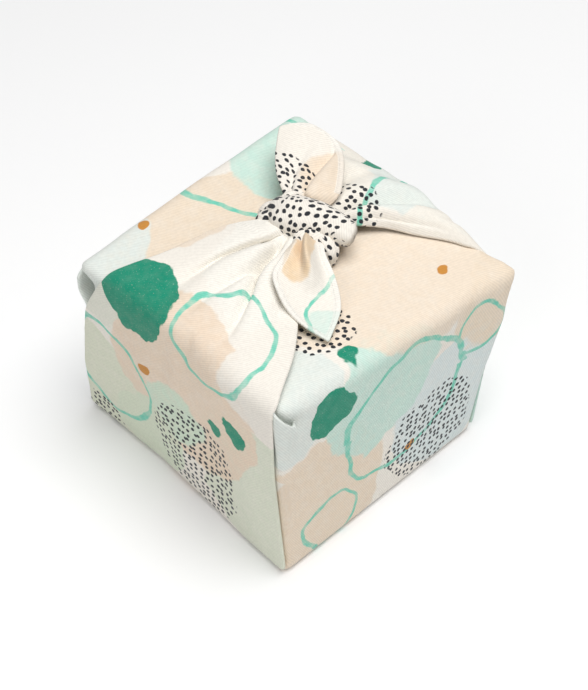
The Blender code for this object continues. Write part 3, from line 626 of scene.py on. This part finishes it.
def strand(rows, sections, around, creases):
    """One strand of the knot: ellipses carried along a curved path, with creases along it."""
    stations = np.arange(len(rows), dtype=float)
    at = (len(rows) - 1) * shares(sections)
    middle = curve(stations, np.array([row[0] for row in rows], float), at)
    sizes = curve(stations, np.array([row[1:] for row in rows], float), at)
    path = unit(np.gradient(middle, axis=0))
    level = unit(middle[-1] - middle[0]) * (1, 1, 0)
    side = np.broadcast_to(unit(np.cross(level, (0.0, 0.0, 1.0))), path.shape)
    side = unit(side - (side * path).sum(axis=1, keepdims=True) * path)
    up = np.cross(side, path)
    angle = np.linspace(0, 2 * math.pi, around + 1)[None, :, None]
    shrink = 1.0
    for start, end, depth, width in creases:
        line = np.radians(start + (end - start) * shares(sections))[:, None, None]
        shrink = shrink - depth * np.exp(-(((angle - line) / width) ** 2 + 0.02) ** 0.75)
    wide, high, twist = (sizes[:, k, None, None] for k in range(3))
    flat, tall, twist = wide * np.cos(angle) * shrink, high * np.sin(angle) * shrink, np.radians(twist)
    grid = (middle[:, None] + side[:, None] * (flat * np.cos(twist) - tall * np.sin(twist))
            + up[:, None] * (flat * np.sin(twist) + tall * np.cos(twist)))
    x = lengths(grid, 1)
    y = lengths(grid[:, :1], 0)
    return grid, stacked(STRANDS_AT[0] + x, STRANDS_AT[1] + y)


def soft_shapes(points):
    """Shift points near each soft trough or swelling, fading as a bell about its line."""
    moved = points.copy()
    for start, end, width, shift in SOFT:
        start, end = np.array((start, end), float)
        share = np.clip(((points - start) @ (end - start)) / ((end - start) @ (end - start)), 0, 1)
        gap = np.linalg.norm(points - start - share[..., None] * (end - start), axis=-1)
        fade = 1 - 0.5 * np.abs(2 * share - 1)
        moved += (np.exp(-(gap / width) ** 2) * fade)[..., None] * np.array(shift)
    return moved


def lean(points):
    """Move points as the wrap's corners lean, in proportion to their place, then put the
    wrap's middle at the origin and turn millimetres into metres."""
    x = np.clip(points[..., 0] / HALF, -1, 1) / 2
    y = np.clip(points[..., 1] / HALF, -1, 1) / 2
    z = points[..., 2] / TOP
    moved = points.copy()
    for (sign_x, sign_y), ends in LEAN.items():
        weight = (0.5 + sign_x * x) * (0.5 + sign_y * y)
        foot, top = np.array(ends)
        moved += weight[..., None] * (foot + (top - foot) * z[..., None])
    return (moved - MIDDLE) * MM + ORIGIN


# -------- the cloth's mesh
def cloth_grids():
    """All grids of the cloth: points, flat places and, where a hem comes near, each point's
    distance to the hemmed edge."""
    # the base and the walls
    sections = [wall_section(z) for z in LEVELS]
    walls = np.array([section[0] for section in sections])
    flat = np.array([section[1] for section in sections])
    row_a, row_b, row_c, row_d = sections[-1][2]
    inset = FOOT_R - np.sqrt(np.maximum(FOOT_R ** 2 - (FOOT_R - np.minimum(LEVELS, FOOT_R)) ** 2, 0))
    walls[..., :2] *= (1 - inset / HALF)[:, None, None]
    walls[..., 2] += (CLOTH / 2 * (1 - smooth(LEVELS, 0, 10)))[:, None]
    rings = shares(4)[:-1, None, None]      # the first is the pole, welded shut
    base = walls[0][None] * rings
    base[..., 2] = CLOTH / 2
    flat = np.concatenate((walls[0][None, :, :2] * rings, flat))
    around = ((0, 0), (0, 1), (0, 0))       # the first column again at the end, to close the rows
    grids = [(np.pad(np.concatenate((base, walls)), around, "wrap"), np.pad(flat, around, "wrap"))]
    a, flat_a = pleated_panel(PANEL_A, FOLDS_A, ACROSS_A, ALONG_A, -1)
    c, flat_c = pleated_panel(PANEL_C, FOLDS_C, ACROSS_A, ALONG_C, 1)
    grids += [(joined(a, row_a), flat_a), (joined(c, row_c), flat_c)]
    b, flat_b = flat_panel(PANEL_B, ACROSS_B, STEPS_B)
    b[..., 1] += 1.4 * smooth(b[..., 1], 40, 66)       # its right side reaches out to panel C's fold
    grids.append((dent_pocket(joined(b, row_b)), flat_b))
    d, flat_d = flat_panel(PANEL_D, ACROSS_B, STEPS_D)
    d = open_ear(joined((d * (-1, 1, 1))[:, ::-1], row_d))
    grids.append((d, (flat_d * (-1, 1))[:, ::-1]))
    ear, flat_ear = ear_lip()
    tuck, flat_tuck = tuck_lip()
    grids += [(ear, flat_ear), (tuck[:, ::-1], flat_tuck[:, ::-1])]
    for table, folds, side in ((FRONT_END, FOLDS_FRONT, 1), (BACK_END, FOLDS_BACK, -1)):
        grid, place = free_end(table, folds, *END_STEPS, side)
        across = lengths(grid, 1)
        edge = across[:, -1:] - across
        if side > 0:
            edge = np.minimum(across, edge)
        else:   # the back end is rolled in at its left, so its hem runs over the tip instead
            edge = np.minimum(edge, (lengths(grid[::-1], 0)[::-1]) * 1.2 + 0.6)
        along = shares(len(grid) - 1)[:, None]
        grids.append((grid, place, edge + 20 * (1 - smooth(along, 0.10, 0.16))))
    strands = [(KNOT_BAND, BAND_STEPS, BAND_CREASES)]
    strands += [(rows, STRAND_STEPS, ROLL_CREASES) for rows in SMALL_STRANDS[:-1]]
    strands.append((SMALL_STRANDS[-1], STRAND_STEPS, CRUMPLED_CREASES))
    return grids + [strand(rows, *steps, creases) for rows, steps, creases in strands]


def make_cloth():
    """One mesh from all grids, welded where they meet, with the flat cloth as its UV map and
    the distance to the hemmed edge as an attribute; the sheet is thicker along the hem."""
    points, flats, hems, faces = [], [], [], []
    offset = 0
    for grid, flat, *hem in cloth_grids():
        index = np.arange(grid[..., 0].size).reshape(grid.shape[:2]) + offset
        corners = index[:-1, :-1], index[:-1, 1:], index[1:, 1:], index[1:, :-1]
        faces.append(np.stack(corners, axis=2).reshape(-1, 4))
        points.append(lean(soft_shapes(grid)).reshape(-1, 3))
        flats.append(flat.reshape(-1, 2))
        hems.append(hem[0].ravel() if hem else np.full(index.size, NO_HEM))
        offset += index.size
    points, flats, hems, faces = (np.concatenate(part) for part in (points, flats, hems, faces))
    mesh = bpy.data.meshes.new("furoshiki_wrap")
    mesh.from_pydata(points.tolist(), [], faces.tolist(), shade_flat=False)
    uv = mesh.uv_layers.new(name="flat cloth")
    uv.data.foreach_set("uv", (flats[faces.ravel()] / FLAT + 0.5).astype(np.float32).ravel())
    hem = mesh.attributes.new("edge distance", "FLOAT", "POINT")
    hem.data.foreach_set("value", hems.astype(np.float32))
    welded = bmesh.new()
    welded.from_mesh(mesh)
    bmesh.ops.remove_doubles(welded, verts=welded.verts, dist=0.01 * MM)
    welded.to_mesh(mesh)
    welded.free()
    hems = np.empty(len(mesh.vertices), dtype=np.float32)
    mesh.attributes["edge distance"].data.foreach_get("value", hems)
    levels = np.round((1 - smooth(hems, HEM - 0.5, HEM)) * HEM_LEVELS)
    cloth = bpy.data.objects.new("furoshiki_wrap", mesh)
    bpy.context.scene.collection.objects.link(cloth)
    thick = cloth.vertex_groups.new(name="hem thickness")
    for level in range(1, HEM_LEVELS + 1):
        thick.add(np.flatnonzero(levels == level).tolist(), level / HEM_LEVELS, "REPLACE")
    solid = cloth.modifiers.new("cloth thickness", "SOLIDIFY")
    solid.thickness = HEM_THICK * MM
    solid.offset = 0.0
    solid.vertex_group = "hem thickness"
    solid.thickness_vertex_group = CLOTH / HEM_THICK
    solid.use_quality_normals = True
    return cloth


# -------- materials
def linear(code):
    """An sRGB hex colour as linear values with alpha 1."""
    parts = [int(code[k:k + 2], 16) / 255 for k in (1, 3, 5)]
    return tuple(p / 12.92 if p <= 0.04045 else ((p + 0.055) / 1.055) ** 2.4 for p in parts) + (1.0,)


def add(tree, kind, sockets=None, out=0, **settings):
    """Add a shader node with its settings, and return its output out.  Sockets maps an input
    to a value, or to another node's output, which is linked to it."""
    node = tree.nodes.new("ShaderNode" + kind)
    for name, value in settings.items():
        setattr(node, name, value)
    for key, value in (sockets or {}).items():
        if isinstance(value, bpy.types.NodeSocket):
            tree.links.new(value, node.inputs[key])
        else:
            node.inputs[key].default_value = value
    return node.outputs[out] if node.outputs else None


# The print, in millimetres on the flat cloth: the base is in the middle, panel A runs to
# -y, B to +x, C to +y and D to -x.  A disc is its middle, its radius and its colour, and later
# ones lie over earlier ones.
PATCHES = (
    ((0, 0), 70, "#EBDAC4"), ((-62, -96), 42, "#DDE0CB"), ((58, -112), 44, "#DDE1CE"),
    ((4, -148), 50, "#EAD6C0"), ((-66, -176), 30, "#E4E4D6"), ((66, -190), 34, "#EFE9DF"),
    ((-2, -122), 18, "#D2E2CE"), ((-22, -92), 24, "#D9E1CB"), ((14, -232), 30, "#F1EDE4"),
    ((-52, -236), 30, "#EBDAC6"), ((102, -44), 42, "#EAD8C2"), ((112, 44), 40, "#DCE6E5"),
    ((148, -8), 32, "#C9E4D8"), ((166, 62), 30, "#EBDAC4"), ((216, 16), 54, "#EDDDC9"),
    ((176, -66), 34, "#E0E6E0"), ((286, 8), 40, "#EFE9DF"), ((-96, -30), 44, "#DCE2DF"),
    ((-128, 46), 44, "#E9D6BF"), ((-216, -20), 52, "#EBDAC4"), ((-196, 52), 36, "#C9E4D8"),
    ((-170, -60), 30, "#E0E6E0"), ((-40, 106), 46, "#E9D6BF"), ((52, 112), 42, "#C9E4D8"),
    ((-10, 168), 44, "#E0E6E0"), ((48, 196), 38, "#F0EADF"), ((-52, 216), 40, "#F0EADF"),
    ((26, 240), 30, "#EFE9DF"), ((12, -320), 19, "#EAD9C4"), ((3, 306), 13, "#E8CFAE"),
    ((-6, 352), 15, "#D6E6DC"),
)
# A ring is its middle, its radius and the width of its line.
RINGS = (
    ((24, -190), 27, 2.6), ((-48, -118), 28, 2.8), ((128, 8), 36, 2.8), ((86, -40), 17, 2.4),
    ((232, -30), 24, 2.4), ((-190, 30), 34, 2.6), ((-120, -30), 30, 2.8), ((20, 196), 34, 2.6),
    ((-36, 128), 28, 2.6), ((-22, 352), 30, 2.0), ((150, 52), 14, 2.2),
)
GREENS = (
    ((-28, -180), 22), ((40, -142), 6), ((28, -134), 3.6), ((158, -38), 12), ((176, -24), 4.5),
    ((-232, 34), 9), ((-150, 8), 5), ((6, 150), 15), ((-30, 182), 5),
)
OCHRES = (((-20, -140), 3.2), ((96, 20), 3.4), ((190, 44), 2.8), ((-176, -34), 3.0), ((40, 160), 3.0))
# Patches filled with small black dots.
DOTTED = (
    ((12, -100), 30), ((-58, -78), 15), ((98, 30), 29), ((198, -22), 17), ((-238, -44), 26),
    ((-96, 34), 30), ((-14, 232), 26), ((60, 128), 26), ((46, 276), 38),
    ((-15, -318), 17),
)
DOT_PITCH = 3.5          # from dot to dot
WEAVE_PITCH = 0.95       # a real rib is 0.5 mm apart, drawn as coarse as it needs to show
WEAVE_TURN = 120         # degrees from the cloth's edge to the line across the ribs
STITCH = 2.5             # from stitch to stitch along the hem
STITCH_IN = 0.9          # from the hem's inner edge to the row of stitches


def cotton_twill():
    """Printed cotton twill: matt and pale with a faint bloom, crossed by fine diagonal ribs
    that catch the light and also carry painted shade between them and a painted highlight on
    their crests; the inks lie flat in the cloth and let specks of it show."""
    material = bpy.data.materials.new("printed cotton twill")
    material.use_nodes = True
    material.node_tree.nodes.clear()
    node = functools.partial(add, material.node_tree)

    uv = node("UVMap", uv_map="flat cloth")
    place = node("VectorMath", {0: uv, 1: (0.5, 0.5, 0.0)}, operation="SUBTRACT")
    place = node("VectorMath", {0: place, 1: (FLAT, FLAT, 0.0)}, operation="MULTIPLY")
    uneven = node("TexNoise", {"Vector": place, "Scale": 1 / 5.0, "Detail": 6.0})

    def wavering(point, *waves):
        """A point that wanders.  Each wave is its size in millimetres and its full swing."""
        for size, swing in waves:
            swirl = node("TexNoise", {"Vector": place, "Scale": 1 / size}, 1)
            swirl = node("VectorMath", {0: swirl, 1: (0.5, 0.5, 0.5)}, operation="SUBTRACT")
            point = node("VectorMath", {0: swirl, 1: (swing, swing, 0.0), 2: point},
                         operation="MULTIPLY_ADD")
        return point

    def below(value, limit, soft):
        """1 where a value is under a limit, fading to 0 over a soft margin."""
        return node("MapRange", {0: value, 1: limit + soft, 2: limit - soft, 3: 0.0, 4: 1.0},
                    interpolation_type="SMOOTHSTEP")

    def shapes(table, point, soft):
        """1 inside any of a table's discs and on the line of any of its rings."""
        mask = None
        for middle, radius, *line in table:
            gap = node("VectorMath", {0: point, 1: (*middle, 0.0)}, 1, operation="DISTANCE")
            if line:
                gap = node("Math", {0: gap, 1: float(radius)}, operation="SUBTRACT")
                gap, radius = node("Math", {0: gap}, operation="ABSOLUTE"), line[0] / 2
            shape = below(gap, radius, soft)
            mask = shape if mask is None else node("Math", {0: mask, 1: shape}, operation="MAXIMUM")
        return mask

    def inked(colour, ink, low, *masks):
        """A colour with ink on it where all the masks are.  Ink takes unevenly, from low to 1."""
        share = node("MapRange", {0: uneven, 1: 0.25, 2: 0.6, 3: low, 4: 1.0})
        for mask in masks:
            share = node("Math", {0: share, 1: mask}, operation="MULTIPLY")
        return node("Mix", {0: share, 6: colour, 7: linear(ink)}, 2, data_type="RGBA")
    # shapes are drawn by hand, and the wide ones with a loaded brush
    hand = wavering(place, (38.0, 24.0), (3.2, 1.1))
    brushed = wavering(hand, (7.0, 6.0))
    # small specks of bare cloth in the dark inks
    fleck = node("TexNoise", {"Vector": place, "Scale": 1 / 0.8, "Detail": 1.0})
    fleck = node("Math", {0: below(fleck, 0.71, 0.04), 1: 0.80}, operation="MAXIMUM")

    colour = linear("#F0EAE0")      # the cloth's own cream, under all the inks
    for middle, radius, ink in PATCHES:
        colour = inked(colour, ink, 0.72, shapes([(middle, radius)], brushed, 1.1))
    colour = inked(colour, "#72CDB5", 0.45, shapes(RINGS, hand, 0.35))
    colour = inked(colour, "#068C6E", 0.94, shapes(GREENS, brushed, 0.4), fleck)
    colour = inked(colour, "#CB8B3A", 1.0, shapes(OCHRES, hand, 0.3))
    cells = node("TexVoronoi", {"Vector": wavering(place, (3.0, 1.2)), "Scale": 1 / DOT_PITCH,
                                "Randomness": 0.55}, "Distance", voronoi_dimensions="2D")
    colour = inked(colour, "#25282E", 1.0, below(cells, 0.29, 0.04), shapes(DOTTED, brushed, 0.5), fleck)
    # the hem is two layers more of the same cloth, so it looks a little paler
    edge = node("Attribute", None, "Fac", attribute_name="edge distance")
    colour = inked(colour, "#F4F1EA", 1.0, below(edge, HEM, 0.25), 0.5)

    # the ribs, with painted shade between them and a painted highlight on their crests, and the
    # yarn's own unevenness
    across = node("VectorRotate", {"Vector": place, "Angle": math.radians(WEAVE_TURN)},
                  rotation_type="Z_AXIS")
    ribs = node("TexWave", {"Vector": across, "Scale": 2 * math.pi / (20 * WEAVE_PITCH),
                            "Distortion": 0.7, "Detail": 1.0, "Detail Scale": 0.4}, "Fac")
    # painted shade and highlight: the colour is scaled from 0.93 between the ribs to 1.035 on their crests
    painted_rib_shade = node("MapRange", {0: ribs, 1: 0.0, 2: 1.0, 3: 0.93, 4: 1.035})
    yarn = node("TexNoise", {"Vector": place, "Scale": 1 / 1.6})
    yarn = node("MapRange", {0: yarn, 1: 0.3, 2: 0.7, 3: 0.96, 4: 1.04})
    # the colour takes the painted rib shade and highlight, and the yarn's own unevenness
    for rib_shade_and_yarn_tone in (painted_rib_shade, yarn):
        colour = node("VectorMath", {0: colour, "Scale": rib_shade_and_yarn_tone}, operation="SCALE")

    # a row of sunk stitches along the hem's inner side, with short gaps
    row = node("Math", {0: edge, 1: HEM - STITCH_IN}, operation="SUBTRACT")
    row = below(node("Math", {0: row}, operation="ABSOLUTE"), 0.22, 0.12)
    along = node("TexWave", {"Vector": place, "Scale": 2 * math.pi / (20 * STITCH)}, "Fac",
                 bands_direction="Y")
    along = node("Math", {0: along, 1: 0.25}, operation="GREATER_THAN")
    stitches = node("Math", {0: row, 1: along}, operation="MULTIPLY")
    height = node("TexNoise", {"Vector": place, "Scale": 1 / 9.0, "Detail": 4.0})   # cockling
    height = node("Math", {0: height, 1: 0.35}, operation="MULTIPLY")
    for part, tall in ((stitches, -0.2), (ribs, 0.06)):
        height = node("Math", {0: part, 1: tall, 2: height}, operation="MULTIPLY_ADD")
    normal = node("Bump", {"Height": height, "Strength": 0.8, "Distance": MM})
    shader = node("BsdfPrincipled", {"Base Color": colour, "Roughness": 0.88, "IOR": 1.46,
                                     "Sheen Weight": 0.15, "Sheen Roughness": 0.5, "Normal": normal})
    node("OutputMaterial", {"Surface": shader})
    return material


# -------- the studio
FLOOR_HALF = 3.0         # metres from the wrap to the floor's edge
SURROUND = 0.24          # strength of the white surround
# A lamp is its name, its place in metres, its width and its power: a broad one overhead, a
# little behind, and a weak one in front that keeps the front faces from going grey.
LAMPS = (("key", (0.28, 0.16, 1.8), 1.5, 29.0), ("fill", (0.30, -0.75, 0.60), 0.5, 1.6))
LAMP_AIM = np.array([0.0, 0.0, 0.05])
CAMERA_AIM = np.array([0.00002, 0.00198, 0.04759])
CAMERA_AZIMUTH = math.radians(47.9)      # from the -Y side round towards +X
CAMERA_ELEVATION = math.radians(46.2)
CAMERA_DISTANCE = 0.7138
LENS = 78.26             # on a sensor 36 mm high, a portrait lens


def build_stage():
    """A pale floor, a pale surround and two soft lamps."""
    scene = bpy.context.scene
    scene.view_settings.view_transform = "Standard"
    world = bpy.data.worlds.new("studio")
    world.use_nodes = True
    background = world.node_tree.nodes["Background"]
    background.inputs[0].default_value = (1.0, 1.0, 1.0, 1.0)
    background.inputs[1].default_value = SURROUND
    scene.world = world
    mesh = bpy.data.meshes.new("floor")
    corners = [(x * FLOOR_HALF, y * FLOOR_HALF, 0) for x, y in ((-1, -1), (1, -1), (1, 1), (-1, 1))]
    mesh.from_pydata(corners, [], [(0, 1, 2, 3)])
    floor = bpy.data.objects.new("floor", mesh)
    scene.collection.objects.link(floor)
    # matt white paper: no shine, and so pale that the lit floor comes out nearly white
    paper = bpy.data.materials.new("matt white paper")
    paper.use_nodes = True
    shader = paper.node_tree.nodes["Principled BSDF"]
    shader.inputs["Base Color"].default_value = linear("#FBFBFB")
    shader.inputs["Roughness"].default_value = 0.9
    floor.data.materials.append(paper)
    for name, place, size, power in LAMPS:
        lamp = bpy.data.lights.new(name, "AREA")
        lamp.shape = "DISK"
        lamp.size = size
        lamp.energy = power
        piece = bpy.data.objects.new(name, lamp)
        scene.collection.objects.link(piece)
        piece.location = place
        piece.rotation_euler = look(LAMP_AIM - np.array(place))


def look(aim):
    """Euler angles that turn a camera or lamp to look along a direction."""
    x, y, z = aim / np.linalg.norm(aim)
    return (math.acos(-z), 0.0, math.atan2(y, x) - math.pi / 2)


def build_camera():
    """A camera above the front corner, at a portrait lens length."""
    level = math.cos(CAMERA_ELEVATION)
    back = np.array([math.sin(CAMERA_AZIMUTH) * level, -math.cos(CAMERA_AZIMUTH) * level,
                     math.sin(CAMERA_ELEVATION)])
    data = bpy.data.cameras.new("camera")
    data.lens = LENS
    data.sensor_width = 36
    camera = bpy.data.objects.new("camera", data)
    bpy.context.scene.collection.objects.link(camera)
    camera.location = ORIGIN + CAMERA_AIM + back * CAMERA_DISTANCE
    camera.rotation_euler = look(-back)
    bpy.context.scene.camera = camera


build_stage()
build_camera()
cloth = make_cloth()
cloth.data.materials.append(cotton_twill())
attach(cloth, "root")
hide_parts("furoshiki_cloth")

bpy.context.view_layer.update()
